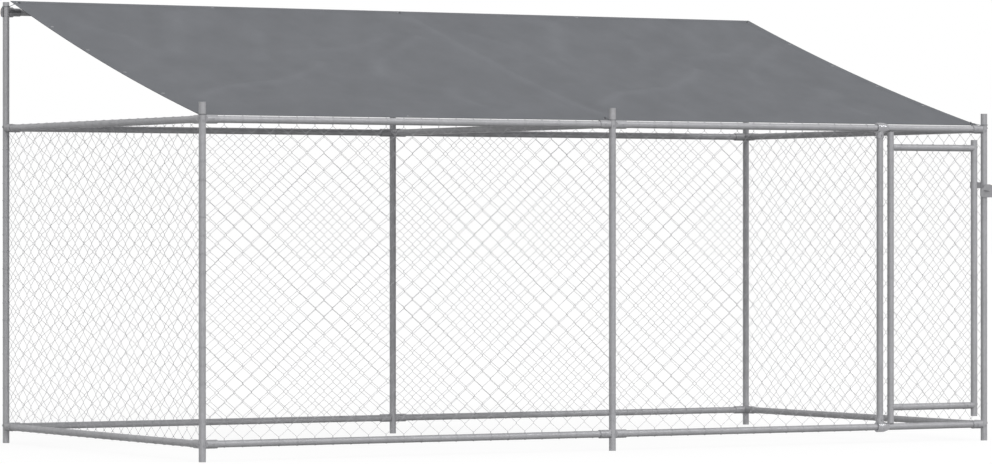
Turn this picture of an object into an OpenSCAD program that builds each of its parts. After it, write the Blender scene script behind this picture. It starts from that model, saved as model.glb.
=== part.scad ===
// Outdoor dog kennel run: tube frame in two bays, chain-link nets, a hinged door and a sloping sheet roof.
// Millimetres, +Z up, +X along the run, +Y from the front to the back. The feet stand on z = 0.

/* [Run] */
// Distance between post axes along one bay
bay_l = 2000; // [1500:10:2500]
// Distance between the front and back post axes
run_w = 2000; // [1200:10:2500]
// Height of the front posts
front_h = 1500; // [1300:5:1700]
// Height of the back posts
back_h = 2000; // [1800:5:2300]

/* [Tubes] */
// Outer diameter of the posts and door stiles
post_d = 30; // [27:0.5:36]
// Outer diameter of the rails
rail_d = 30; // [24:0.5:32]
// Wall of every tube
tube_wall = 1.2; // [0.8:0.1:2]
// Height of the bottom rail axis above the ground
low_rail_z = 74; // [60:1:150]
// Drop of the top rail axis below the tops of the front posts
top_rail_drop = 72; // [60:1:120]
// Drop of the high rail axis below the tops of the back posts
high_rail_drop = 46; // [46:1:90]

/* [Rail cups] */
// Length of a cup along its rail, from the face of the post
cup_len = 52; // [40:1:70]
// Wall of a cup around its rail
cup_wall = 3.4; // [2:0.1:5]
// Thickness of a cup between the post and the end of the rail
cup_web = 4; // [3:0.5:8]
// Diameter of the saddle flange on a high rail cup, and of the plate beside the end post
flange_d = 46; // [42:1:50]
// Distance from the post axis to the near face of a flange or plate
flange_near = 8; // [5:0.5:11]
// Thickness of a flange in front of the post
flange_web = 16; // [6:0.5:20]
// Thickness of an end plate beside the post
plate_web = 2.9; // [2:0.1:5]
// Distance from the post axis to the front edge of an end plate
plate_front = 7; // [7:0.5:12]
// Gap between fixed pieces that fit together
fit_gap = 0.1; // [0.05:0.01:0.2]

/* [Bolts and screws] */
// Diameter of the bolts
bolt_d = 6; // [4:0.5:8]
// Diameter of a bolt head
bolt_head_d = 11; // [9:0.5:14]
// Height of a bolt head
bolt_head_h = 2; // [1.5:0.1:4]
// Height of a bolt above or below the rail axis, so that crossing bolts pass each other
bolt_stagger = 6; // [5:0.5:8]
// Length of a bolt past the cup web
bolt_tail = 4; // [2:0.5:8]
// Diameter of the cup screws
screw_d = 4; // [3:0.5:5]
// Diameter of a screw head
screw_head_d = 8; // [6:0.5:10]
// Height of a screw head
screw_head_h = 1.6; // [1:0.1:3]
// Distance of a cup screw from the face of the post
screw_at = 30; // [20:1:36]
// Length of a cup screw inside the rail
screw_tail = 2; // [1:0.5:5]

/* [Door] */
// Distance from the right front post axis to the door post axis
door_post_off = 580; // [480:5:900]
// Distance from the door post axis to the hinge stile axis
hinge_off = 59; // [52:0.5:70]
// Distance from the right front post axis to the latch stile axis
latch_off = 56; // [52:0.5:62]
// Drop of the door top rail axis below the frame top rail axis
door_top_drop = 87; // [75:1:120]
// Rise of the door bottom rail axis above the frame bottom rail axis
door_low_rise = 88; // [75:1:120]
// Length of the latch stile above the door top rail axis
stile_over = 38; // [25:1:45]
// Length of the latch stile below the door bottom rail axis
stile_under = 49; // [25:1:50]
// Length of a door plug between the stile and the end of its rail
plug_l = 17; // [12:1:24]
// Length of a door plug inside its rail
plug_tail = 24; // [18:1:40]
// Distance from the stile axis to the tips of a door plug
plug_near = 6; // [4:0.5:9]

/* [Door post tees] */
// Largest diameter of a tee around the rail
tee_d = 47; // [44:0.5:54]
// Length of a tee from the door post axis to its square end
tee_square_l = 20; // [19:0.5:26]
// Length of a tee from the door post axis to its tapered end
tee_taper_l = 42; // [30:0.5:43]
// Wall of the tapered end
tee_end_wall = 1.5; // [1:0.1:3]
// Chamfer of the square end
tee_chamfer = 3; // [1:0.5:5]
// Length of a tee along the door post, from the rail axis
tee_drop = 46; // [44:1:60]
// Distance of the tee bolt from the rail axis
tee_bolt_drop = 33; // [30:1:36]
// Thickness of a tee between the rail and the end of the door post
tee_web = 3; // [2:0.5:6]

/* [Hinge] */
// Diameter of the pivot pins
pin_d = 10; // [8:0.5:12]
// Length of a pivot pin inside its bush
pin_reach = 20; // [15:1:24]
// Length of a bush inside the stile
bush_len = 25; // [25:1:40]
// Thickness of the bush flange
bush_flange_t = 2; // [1:0.5:4]
// Gap between the bush flange and the rail
end_gap = 0.5; // [0.3:0.1:0.9]
// Radial clearance of a turning pin
run_gap = 0.05; // [0.02:0.01:0.09]

/* [Latch] */
// Drop of the latch centre below the frame top rail axis
latch_drop = 282; // [200:1:500]
// Distance from the latch stile axis to the latch pin axis
latch_pin_off = 28.5; // [27:0.5:30]
// Diameter of the latch pin
latch_pin_d = 4; // [3:0.5:5]
// Diameter of the latch knuckles
knuckle_d = 9; // [8:0.5:10]
// Height of the leaf knuckle
knuckle_h = 38; // [20:1:40]
// Gap between the leaf knuckle and the clamp knuckle above it
knuckle_gap = 0.3; // [0.2:0.1:0.6]
// Thickness of the latch leaf
leaf_t = 3; // [2:0.5:4]
// Height of the latch leaf
leaf_h = 60; // [50:1:70]
// Length of the latch leaf from its pin axis to its free end
leaf_l = 72; // [60:1:80]
// Chamfer of the top corners of the leaf
leaf_chamfer = 14; // [4:1:20]
// Gap between the leaf and the keeper band behind it
leaf_gap = 0.8; // [0.5:0.1:2]
// Gap around the staple in the leaf slot
slot_gap = 1.2; // [0.8:0.1:2]
// Extra length of the slot at its far end, for the swing of the leaf
slot_swing = 3.5; // [3:0.5:6]
// Wall of the latch clamp on the stile
clamp_wall = 2.9; // [2:0.1:4]
// Height of the latch clamp
clamp_h = 30; // [24:1:36]
// Rise of the middle of the latch clamp above the latch centre
clamp_rise = 26; // [22:1:32]
// Angle from the door plane to the front edge of the latch clamp
clamp_turn = 46; // [42:1:55]
// Thickness of the keeper band around the post
band_t = 2; // [1.5:0.1:3]
// Height of the keeper band
band_h = 50; // [40:1:60]
// Length of the band ears past the band
ear_l = 15; // [13:1:20]
// Thickness of one ear
ear_t = 2; // [1.5:0.5:3]
// Gap between the ears
ear_slit = 3; // [1:0.5:5]
// Diameter of the staple rod
staple_d = 5; // [4:0.5:6]
// Distance between the staple leg axes
staple_w = 16; // [14:1:18]
// Length of the straight staple legs in front of the leaf
staple_leg = 9; // [6:0.5:12]

/* [Nets] */
// Width of one diamond in the net
mesh_w = 141; // [120:1:220]
// Height of one diamond in the net
mesh_h = 128; // [110:1:200]
// Thickness of the net wire
wire_d = 2.5; // [1.8:0.1:3.5]
// Gap between a net and the tubes and cups around it
net_gap = 0.3; // [0.2:0.1:0.8]
// Depth by which crossing wires sink into each other
cross_sink = 0.1; // [0.05:0.05:0.5]

/* [Roof] */
// Thickness of the roof sheet
sheet_t = 1; // [0.6:0.1:2]
// Distance of the sheet front edge behind the front post axes
sheet_front_set = 37; // [25:1:60]
// Distance of the sheet back edge in front of the back post axes
sheet_back_set = 34; // [25:1:60]
// Distance of the sheet side edges inside the end post axes
sheet_side_set = 6; // [0:1:20]
// Height of the sheet front edge above the crest of the front top cups
sheet_front_lift = 0.5; // [0.5:0.5:15]
// Height of the sheet back edge above the tops of the back posts
sheet_back_lift = 3; // [-5:0.5:10]
// Sag of the sheet in the middle of its slope
sheet_sag = 25; // [0:1:40]
// Distance of the eyelets from the sheet edges
eyelet_inset = 25; // [20:1:40]
// Diameter of the eyelet flanges
eyelet_d = 14; // [12:0.5:20]
// Diameter of the eyelet hole
eyelet_hole_d = 8; // [8:0.5:10]
// Thickness of the eyelet metal
eyelet_t = 0.5; // [0.3:0.1:0.8]
// Number of eyelet steps along the run, an even number
eyelet_steps_l = 4; // [4:2:16]
// Number of eyelet steps along the slope
eyelet_steps_w = 5; // [3:1:8]
// Diameter of the tie cord
cord_d = 2.5; // [2:0.1:3]
// Thickness of the twisted cord loop around a post
loop_d = 3.2; // [3.1:0.1:4]
// Diameter of the ball on the end of a tie
ball_d = 10; // [9:0.5:14]
// Gap between a tie and what it seats on
tie_gap = 0.2; // [0.1:0.05:0.4]

/* [Hidden] */
$fn = 48;

// Radii
post_r = post_d / 2;
rail_r = rail_d / 2;
cup_bore_r = rail_r + fit_gap;
cup_r = cup_bore_r + cup_wall;
seat_r = post_r + fit_gap;
clamp_r = seat_r + clamp_wall;
band_r = seat_r + band_t;
plate_r = seat_r + plate_web;
// Extra length of a cutting tool past the faces it cuts
cut = 1;

// Levels and plan positions
top_z = front_h - top_rail_drop;
high_z = back_h - high_rail_drop;
y_front = -run_w / 2;
y_back = run_w / 2;
door_post_x = bay_l - door_post_off;
hinge_x = door_post_x + hinge_off;
latch_x = bay_l - latch_off;
door_w = latch_x - hinge_x;
door_top_z = top_z - door_top_drop;
door_low_z = low_rail_z + door_low_rise;
latch_z = top_z - latch_drop;
x_bolt_dz = bolt_stagger;
y_bolt_dz = -bolt_stagger;

// Latch heights, measured from the latch centre
clamp_low = clamp_rise - clamp_h / 2;
clamp_high = clamp_rise + clamp_h / 2;
knuckle_high = clamp_low - knuckle_gap;
knuckle_low = knuckle_high - knuckle_h;

// Latch plan, measured from the latch stile axis
leaf_y = -(band_r + leaf_gap + leaf_t / 2);
staple_tip_y = leaf_y - leaf_t / 2 - staple_leg - staple_w / 2 - staple_d / 2;
staple_mid = latch_off - latch_pin_off;
slot_near = staple_mid - staple_w / 2 - staple_d / 2 - slot_gap;
slot_far = staple_mid + staple_w / 2 + staple_d / 2 + slot_gap + slot_swing;

// Middle of the whole part in plan, so that the origin lies under the middle of its box
side_reach = cup_r + fit_gap + screw_head_h;
x_low = -bay_l - max(side_reach, plate_r + fit_gap + bolt_head_h);
x_high = latch_x + latch_pin_off + leaf_l;
y_low = y_front + staple_tip_y;
y_high = y_back + max(flange_d / 2, side_reach);
x_mid = (x_low + x_high) / 2;
y_mid = (y_low + y_high) / 2;

// Roof sheet: a straight slope with a shallow sag
sheet_y0 = y_front + sheet_front_set;
sheet_y1 = y_back - sheet_back_set;
sheet_z0 = top_z + cup_r + sheet_front_lift;
sheet_z1 = back_h + sheet_back_lift;
sheet_w = sheet_y1 - sheet_y0;
sheet_half = bay_l - sheet_side_set;
sheet_steps = 24;
function share(y) = (y - sheet_y0) / sheet_w;
function sheet_z(y) = sheet_z0 + (sheet_z1 - sheet_z0) * share(y) - 4 * sheet_sag * share(y) * (1 - share(y));
function sheet_slope(y) = atan((sheet_z1 - sheet_z0 - 4 * sheet_sag * (1 - 2 * share(y))) / sheet_w);
function sheet_mid(x, y) = [x, y, sheet_z(y) + sheet_t / 2];

// Eyelets
eyelet_bore = eyelet_hole_d / 2;
eyelet_barrel = eyelet_bore + eyelet_t;
eyelet_half = sheet_t / 2 + fit_gap + eyelet_t;
eyelet_x = sheet_half - eyelet_inset;
eyelet_front_y = sheet_y0 + eyelet_inset;
eyelet_back_y = sheet_y1 - eyelet_inset;
along_x = [for (i = [0:eyelet_steps_l]) -eyelet_x + 2 * eyelet_x * i / eyelet_steps_l];
along_y = [for (i = [1:eyelet_steps_w - 1])
  eyelet_front_y + (eyelet_back_y - eyelet_front_y) * i / eyelet_steps_w];
eyelet_plan = concat(
  [for (x = along_x) [x, eyelet_front_y]],
  [for (x = along_x) [x, eyelet_back_y]],
  [for (y = along_y) [-eyelet_x, y]],
  [for (y = along_y) [eyelet_x, y]]
);

// Puts the middle of the part over the origin
module placed() {
  translate([-x_mid, -y_mid, 0]) children();
}

// Cylinder along +X
module bar(r, l) {
  rotate([0, 90, 0]) cylinder(r = r, h = l);
}

// Upright tube with holes at the given heights, for bolts along X and along Y and for screws from the back
module upright(z0, z1, x_holes = [], y_holes = [], screw_holes = []) {
  difference() {
    translate([0, 0, z0]) cylinder(r = post_r, h = z1 - z0);
    translate([0, 0, z0 - cut]) cylinder(r = post_r - tube_wall, h = z1 - z0 + 2 * cut);
    for (z = x_holes) translate([-post_d, 0, z]) bar(bolt_d / 2 + fit_gap, 2 * post_d);
    for (z = y_holes) translate([0, -post_d, z]) rotate([0, 0, 90]) bar(bolt_d / 2 + fit_gap, 2 * post_d);
    for (z = screw_holes) translate([0, 0, z]) rotate([0, 0, 90]) bar(screw_d / 2 + fit_gap, post_d);
  }
}

// Rail along +X between two post axes, its outer side towards -Y.
// pin_holes holds pairs of a place along the rail and a side, 1 for the top and -1 for the underside.
module rail(l, pin_holes = [], gap = cup_web, screw_x = post_r + screw_at) {
  end = post_r + gap + fit_gap;
  difference() {
    translate([end, 0, 0]) bar(rail_r, l - 2 * end);
    translate([end - cut, 0, 0]) bar(rail_r - tube_wall, l - 2 * end + 2 * cut);
    for (x = [screw_x, l - screw_x])
      translate([x, 0, 0]) rotate([90, 0, 0]) cylinder(d = screw_d + 2 * fit_gap, h = rail_d);
    for (p = pin_holes) translate([p[0], 0, 0]) rotate([p[1] > 0 ? 0 : 180, 0, 0])
      cylinder(d = pin_d + 2 * fit_gap, h = rail_d);
  }
}

// Everything outside the quarter of the plan that one cup may fill around its post
module beside_cup() {
  reach = post_r + cup_len + 2 * flange_d;
  for (s = [0, 1]) mirror([0, s, 0]) rotate([0, 0, 45])
    translate([-reach, -fit_gap / 2, -reach]) cube([2 * reach, 2 * reach, 2 * reach]);
}

// Cup on the end of a rail: along +X from the post axis, screw side towards -Y
module cup(bolt_dz, flange = false) {
  difference() {
    union() {
      difference() {
        bar(cup_r, post_r + cup_len);
        beside_cup();
      }
      if (flange) translate([flange_near, 0, 0]) bar(flange_d / 2, seat_r + flange_web - flange_near);
    }
    translate([post_r + cup_web, 0, 0]) bar(cup_bore_r, cup_len);
    translate([0, 0, -flange_d]) cylinder(r = seat_r, h = 2 * flange_d);
    translate([post_r + screw_at, 0, 0]) rotate([90, 0, 0]) cylinder(d = screw_d + 2 * fit_gap, h = rail_d);
    translate([0, 0, bolt_dz]) bar(bolt_d / 2 + fit_gap, post_r + 2 * cup_web);
  }
}

// The two cups of a rail
module cup_pair(l, bolt_dz, flange = false) {
  cup(bolt_dz, flange);
  translate([l, 0, 0]) mirror([1, 0, 0]) cup(bolt_dz, flange);
}

// Screw along +X through a ring and the wall of the tube inside it
module screw(tube_r, ring_r) {
  tip = tube_r - tube_wall - screw_tail;
  head = ring_r + fit_gap;
  translate([tip, 0, 0]) bar(screw_d / 2, head + screw_head_h / 2 - tip);
  translate([head, 0, 0]) bar(screw_head_d / 2, screw_head_h);
}

// The two screws of a rail
module screw_pair(l, ring_r = cup_r, screw_x = post_r + screw_at) {
  for (x = [screw_x, l - screw_x]) translate([x, 0, 0]) rotate([0, 0, -90]) screw(rail_r, ring_r);
}

// Bolt along +X through a post into a cup or plug, with its head behind the post or the plate across it
module bolt(head_seat = seat_r) {
  head_x = -(head_seat + bolt_head_h);
  translate([head_x, 0, 0]) bar(bolt_head_d / 2, bolt_head_h);
  translate([head_x, 0, 0]) bar(bolt_d / 2, -head_x + post_r + cup_web + bolt_tail);
}

// Headless bolt through a post that has a cup on both sides
module stud() {
  half = post_r + cup_web + bolt_tail;
  translate([-half, 0, 0]) bar(bolt_d / 2, 2 * half);
}

// Where the rails run: each starts at a post axis, with its outer side outwards
module on_front(bay, z) {
  placed() translate([(bay - 1) * bay_l, y_front, z]) children();
}
module on_back(bay, z) {
  placed() translate([bay * bay_l, y_back, z]) rotate([0, 0, 180]) children();
}
module on_left(z) {
  placed() translate([-bay_l, y_back, z]) rotate([0, 0, -90]) children();
}
module on_right(z) {
  placed() translate([bay_l, y_front, z]) rotate([0, 0, 90]) children();
}
module on_middle(z) {
  placed() translate([0, y_front, z]) rotate([0, 0, 90]) children();
}
module on_door(z) {
  placed() translate([hinge_x, y_front, z]) children();
}
module at_post(x, y) {
  placed() translate([x, y, 0]) children();
}
// Bolts point towards -X, -Y or +Y from a post
module to_left() {
  rotate([0, 0, 180]) children();
}
module to_front() {
  rotate([0, 0, -90]) children();
}
module to_back() {
  rotate([0, 0, 90]) children();
}

rail_levels = [low_rail_z, top_z];
back_levels = concat(rail_levels, [high_z]);
front_x_holes = [for (z = rail_levels) z + x_bolt_dz];
side_y_holes = [for (z = rail_levels) z + y_bolt_dz];
high_hole = high_z + x_bolt_dz;
back_x_holes = concat(front_x_holes, [high_hole]);
middle_y_holes = [top_z + y_bolt_dz];

// Posts
module post_front_left() {
  color("silver") at_post(-bay_l, y_front) upright(0, front_h, front_x_holes, side_y_holes);
}
module post_front_middle() {
  color("silver") at_post(0, y_front) upright(0, front_h, front_x_holes, middle_y_holes);
}
module post_front_right() {
  color("silver") at_post(bay_l, y_front) upright(0, front_h, front_x_holes, side_y_holes);
}
module post_back_left() {
  color("silver") at_post(-bay_l, y_back) upright(0, back_h, back_x_holes, side_y_holes);
}
module post_back_middle() {
  color("silver") at_post(0, y_back) upright(0, back_h, back_x_holes, middle_y_holes);
}
module post_back_right() {
  color("silver") at_post(bay_l, y_back) upright(0, back_h, back_x_holes, side_y_holes);
}
module door_post() {
  end = cup_bore_r + tee_web + fit_gap;
  color("silver") at_post(door_post_x, y_front) upright(
    low_rail_z + end, top_z - end, [], [low_rail_z + tee_bolt_drop, top_z - tee_bolt_drop]
  );
}

// Rails
module rail_front_top_left() {
  color("gainsboro") on_front(0, top_z) rail(bay_l);
}
module rail_front_top_right() {
  color("gainsboro") on_front(1, top_z) rail(bay_l, [[hinge_x, -1]]);
}
module rail_front_low_left() {
  color("gainsboro") on_front(0, low_rail_z) rail(bay_l);
}
module rail_front_low_right() {
  color("gainsboro") on_front(1, low_rail_z) rail(bay_l, [[hinge_x, 1]]);
}
module rail_back_top_left() {
  color("gainsboro") on_back(0, top_z) rail(bay_l);
}
module rail_back_top_right() {
  color("gainsboro") on_back(1, top_z) rail(bay_l);
}
module rail_back_low_left() {
  color("gainsboro") on_back(0, low_rail_z) rail(bay_l);
}
module rail_back_low_right() {
  color("gainsboro") on_back(1, low_rail_z) rail(bay_l);
}
module rail_left_top() {
  color("gainsboro") on_left(top_z) rail(run_w);
}
module rail_left_low() {
  color("gainsboro") on_left(low_rail_z) rail(run_w);
}
module rail_right_top() {
  color("gainsboro") on_right(top_z) rail(run_w);
}
module rail_right_low() {
  color("gainsboro") on_right(low_rail_z) rail(run_w);
}
module rail_middle() {
  color("gainsboro") on_middle(top_z) rail(run_w);
}
module rail_high_left() {
  color("gainsboro") on_back(0, high_z) rail(bay_l);
}
module rail_high_right() {
  color("gainsboro") on_back(1, high_z) rail(bay_l);
}

// Cups, in one group for each side of the run
module cups_front() {
  color("darkgray") for (bay = [0, 1], z = rail_levels) on_front(bay, z) cup_pair(bay_l, x_bolt_dz);
}
module cups_back() {
  color("darkgray") for (bay = [0, 1], z = rail_levels) on_back(bay, z) cup_pair(bay_l, x_bolt_dz);
}
module cups_left() {
  color("darkgray") for (z = rail_levels) on_left(z) cup_pair(run_w, y_bolt_dz);
}
module cups_right() {
  color("darkgray") for (z = rail_levels) on_right(z) cup_pair(run_w, y_bolt_dz);
}
module cups_middle() {
  color("darkgray") on_middle(top_z) cup_pair(run_w, y_bolt_dz);
}
module cups_high() {
  color("darkgray") for (bay = [0, 1]) on_back(bay, high_z) cup_pair(bay_l, x_bolt_dz, true);
}
// Plates on the outer sides of the end posts, opposite the high cups, with their front cut off
module high_plate() {
  difference() {
    translate([-plate_r, 0, 0]) bar(flange_d / 2, plate_r - flange_near);
    translate([-2 * plate_r, -plate_front - flange_d, -flange_d])
      cube([2 * plate_r, flange_d, 2 * flange_d]);
    cylinder(r = seat_r, h = 2 * flange_d, center = true);
    translate([-post_d, 0, x_bolt_dz]) bar(bolt_d / 2 + fit_gap, post_d);
  }
}
module high_plates() {
  color("darkgray") {
    at_post(-bay_l, y_back) translate([0, 0, high_z]) high_plate();
    at_post(bay_l, y_back) translate([0, 0, high_z]) mirror([1, 0, 0]) high_plate();
  }
}

// Bolts that hold the cups to the posts
module bolts_front() {
  color("dimgray") {
    for (z = front_x_holes) {
      at_post(-bay_l, y_front) translate([0, 0, z]) bolt();
      at_post(0, y_front) translate([0, 0, z]) stud();
      at_post(bay_l, y_front) translate([0, 0, z]) to_left() bolt();
    }
    for (x = [-bay_l, bay_l], z = side_y_holes) at_post(x, y_front) translate([0, 0, z]) to_back() bolt();
    for (z = middle_y_holes) at_post(0, y_front) translate([0, 0, z]) to_back() bolt();
  }
}
module bolts_back() {
  color("dimgray") {
    for (z = front_x_holes) {
      at_post(-bay_l, y_back) translate([0, 0, z]) bolt();
      at_post(bay_l, y_back) translate([0, 0, z]) to_left() bolt();
    }
    at_post(-bay_l, y_back) translate([0, 0, high_hole]) bolt(plate_r + fit_gap);
    at_post(bay_l, y_back) translate([0, 0, high_hole]) to_left() bolt(plate_r + fit_gap);
    for (z = back_x_holes) at_post(0, y_back) translate([0, 0, z]) stud();
    for (x = [-bay_l, bay_l], z = side_y_holes) at_post(x, y_back) translate([0, 0, z]) to_front() bolt();
    for (z = middle_y_holes) at_post(0, y_back) translate([0, 0, z]) to_front() bolt();
  }
}
module cup_screws() {
  color("dimgray") {
    for (bay = [0, 1], z = rail_levels) on_front(bay, z) screw_pair(bay_l);
    for (bay = [0, 1], z = back_levels) on_back(bay, z) screw_pair(bay_l);
    for (z = rail_levels) on_left(z) screw_pair(run_w);
    for (z = rail_levels) on_right(z) screw_pair(run_w);
    on_middle(top_z) screw_pair(run_w);
  }
}

// Tee that joins the door post to a rail: rail along X, door post downwards
tee_cup_r = seat_r + cup_wall;
module tee() {
  difference() {
    union() {
      rotate([0, 90, 0]) rotate_extrude() polygon([
        [0, -tee_square_l],
        [tee_d / 2 - tee_chamfer, -tee_square_l],
        [tee_d / 2, -tee_square_l + tee_chamfer],
        [tee_d / 2, tee_cup_r],
        [cup_bore_r + tee_end_wall, tee_taper_l],
        [0, tee_taper_l]
      ]);
      translate([0, 0, -tee_drop]) cylinder(r = tee_cup_r, h = tee_drop);
    }
    translate([-tee_square_l - cut, 0, 0]) bar(cup_bore_r, tee_square_l + tee_taper_l + 2 * cut);
    translate([0, 0, -tee_drop - cut]) cylinder(r = seat_r, h = tee_drop + cut - cup_bore_r - tee_web);
    translate([0, -post_d, -tee_bolt_drop]) rotate([0, 0, 90]) bar(bolt_d / 2 + fit_gap, 2 * post_d);
  }
}
module tee_top() {
  color("lightgray") at_post(door_post_x, y_front) translate([0, 0, top_z]) tee();
}
module tee_low() {
  color("lightgray") at_post(door_post_x, y_front) translate([0, 0, low_rail_z]) mirror([0, 0, 1]) tee();
}
// Bolt through a tee, along +Y from its head, with a nut
module tee_bolt() {
  face = tee_cup_r + fit_gap;
  rotate([0, 0, 90]) {
    translate([-face - bolt_head_h, 0, 0]) bar(bolt_head_d / 2, bolt_head_h);
    translate([-face - bolt_head_h, 0, 0]) bar(bolt_d / 2, 2 * face + 2 * bolt_head_h);
    translate([face, 0, 0]) bar(bolt_head_d / 2, bolt_head_h);
  }
}
module tee_bolts() {
  color("dimgray") for (z = [low_rail_z + tee_bolt_drop, top_z - tee_bolt_drop])
    at_post(door_post_x, y_front) translate([0, 0, z]) tee_bolt();
}

// Pivot pins, fixed in the front rails
module hinge_pin() {
  cylinder(d = pin_d, h = rail_r + end_gap + pin_reach);
}
module hinge_pins() {
  color("dimgray") {
    on_door(low_rail_z) hinge_pin();
    on_door(top_z) mirror([0, 0, 1]) hinge_pin();
  }
}

// Flat net in the XZ plane between tube axes, with places kept free: each is a centre and a half size
module net(w, z0, z1, places) {
  h = z1 - z0;
  tilt = atan(mesh_h / mesh_w);
  count = ceil((w / mesh_w + h / mesh_h) / 2);
  for (side = [-1, 1])
    translate([0, side > 0 ? wire_d - cross_sink / 2 : cross_sink / 2, 0]) rotate([90, 0, 0])
      linear_extrude(wire_d) intersection() {
        for (i = [-count:count]) translate([w / 2 + (i + 1 / 2) * mesh_w, (z0 + z1) / 2])
          rotate(side * tilt) square([w + h, wire_d], center = true);
        difference() {
          translate([post_r + net_gap, z0 + rail_r + net_gap])
            square([w - 2 * (post_r + net_gap), h - 2 * (rail_r + net_gap)]);
          for (c = places) translate([c[0], c[1]])
            square([2 * (c[2] + net_gap), 2 * (c[3] + net_gap)], center = true);
        }
      }
}
// Places that the cups take at both ends of two rails
function cup_places(w, z0, z1) = [for (x = [0, w], z = [z0, z1]) [x, z, post_r + cup_len, cup_r]];
// Net between two posts, from the bottom rail to the top rail
module wall_net(w, places = []) {
  net(w, low_rail_z, top_z, concat(cup_places(w, low_rail_z, top_z), places));
}

module net_front_left() {
  color("lightslategray") on_front(0, 0) wall_net(bay_l);
}
module net_front_right() {
  w = door_post_x;
  tees = [for (z = rail_levels) [w, z, tee_square_l, tee_d / 2]];
  tee_cups = [for (z = rail_levels) [w, z, tee_cup_r, tee_drop]];
  cups = [for (z = rail_levels) [0, z, post_r + cup_len, cup_r]];
  color("lightslategray") on_front(1, 0) net(w, low_rail_z, top_z, concat(cups, tees, tee_cups));
}
module net_left() {
  color("lightslategray") on_left(0) wall_net(run_w);
}
module net_right() {
  color("lightslategray") on_right(0) wall_net(run_w, [[0, latch_z, band_r, band_h / 2]]);
}
module net_back_left() {
  color("lightslategray") on_back(0, 0) wall_net(bay_l);
}
module net_back_right() {
  color("lightslategray") on_back(1, 0) wall_net(bay_l);
}

// Roof sheet with holes for its eyelets
module on_sheet(x, y) {
  placed() translate(sheet_mid(x, y)) rotate([sheet_slope(y), 0, 0]) children();
}
module roof_sheet() {
  along = [for (i = [0:sheet_steps]) sheet_y0 + sheet_w * i / sheet_steps];
  under = [for (i = [0:sheet_steps]) [along[i], sheet_z(along[i])]];
  over = [for (i = [sheet_steps:-1:0]) [along[i], sheet_z(along[i]) + sheet_t]];
  color("slategray") difference() {
    placed() translate([-sheet_half, 0, 0]) rotate([90, 0, 90])
      linear_extrude(2 * sheet_half) polygon(concat(under, over));
    for (p = eyelet_plan) on_sheet(p[0], p[1])
      cylinder(r = eyelet_barrel + fit_gap, h = 4 * sheet_t, center = true);
  }
}
module eyelet() {
  rotate_extrude() polygon([
    [eyelet_bore, -eyelet_half],
    [eyelet_d / 2, -eyelet_half],
    [eyelet_d / 2, -eyelet_half + eyelet_t],
    [eyelet_barrel, -eyelet_half + eyelet_t],
    [eyelet_barrel, eyelet_half - eyelet_t],
    [eyelet_d / 2, eyelet_half - eyelet_t],
    [eyelet_d / 2, eyelet_half],
    [eyelet_bore, eyelet_half]
  ]);
}
module roof_eyelets() {
  color("lightsteelblue") for (p = eyelet_plan) on_sheet(p[0], p[1]) eyelet();
}

// Rod between two points
module rod(p, q, d) {
  v = q - p;
  translate(p) rotate([0, acos(v[2] / norm(v)), atan2(v[1], v[0])]) cylinder(d = d, h = norm(v));
}
// Ties lie around the posts on the crests of the cups and flanges
tie_r = post_r + loop_d / 2 + tie_gap;
tie_front_z = top_z + cup_r + loop_d / 2 + tie_gap;
tie_back_z = high_z + flange_d / 2 + loop_d / 2 + tie_gap;
ball_lift = ball_d / 2 + eyelet_half + tie_gap;
knot_d = 2 * cord_d;
function sheet_up(y) = [0, -sin(sheet_slope(y)), cos(sheet_slope(y))];
function tie_start(post_x, x, out, z) =
  [post_x, 0, z] + tie_r * [x - post_x, out, 0] / norm([x - post_x, out]);
module tie_ring(post_x, post_y, z) {
  translate([post_x, post_y, z]) rotate_extrude() translate([tie_r, 0]) circle(d = loop_d);
}
// Front tie: from the ring over the sheet to a ball on an eyelet, with a knotted tail under the eyelet
module front_tie(post_x, x) {
  y = eyelet_front_y;
  eye = sheet_mid(x, y);
  ball = eye + ball_lift * sheet_up(y);
  knot = eye - (knot_d / 2 + eyelet_half + tie_gap) * sheet_up(y);
  placed() {
    tie_ring(post_x, y_front, tie_front_z);
    rod([0, y_front, 0] + tie_start(post_x, x, y - y_front, tie_front_z), ball, cord_d);
    rod(knot, ball - ball_d / 4 * sheet_up(y), cord_d);
    translate(ball) sphere(d = ball_d);
    translate(knot) sphere(d = knot_d);
  }
}
// Back tie: from the ring straight through an eyelet to a ball above the sheet
module back_tie(post_x, x) {
  y = eyelet_back_y;
  eye = sheet_mid(x, y);
  from = [0, y_back, 0] + tie_start(post_x, x, y - y_back, tie_back_z);
  way = (eye - from) / norm(eye - from);
  ball = eye + way * ball_lift / abs(way * sheet_up(y));
  placed() {
    tie_ring(post_x, y_back, tie_back_z);
    rod(from, ball, cord_d);
    translate(ball) sphere(d = ball_d);
  }
}
module roof_ties() {
  color("darkslategray") for (i = [-1, 0, 1]) {
    front_tie(i * bay_l, i * eyelet_x);
    back_tie(i * bay_l, i * eyelet_x);
  }
}

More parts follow.
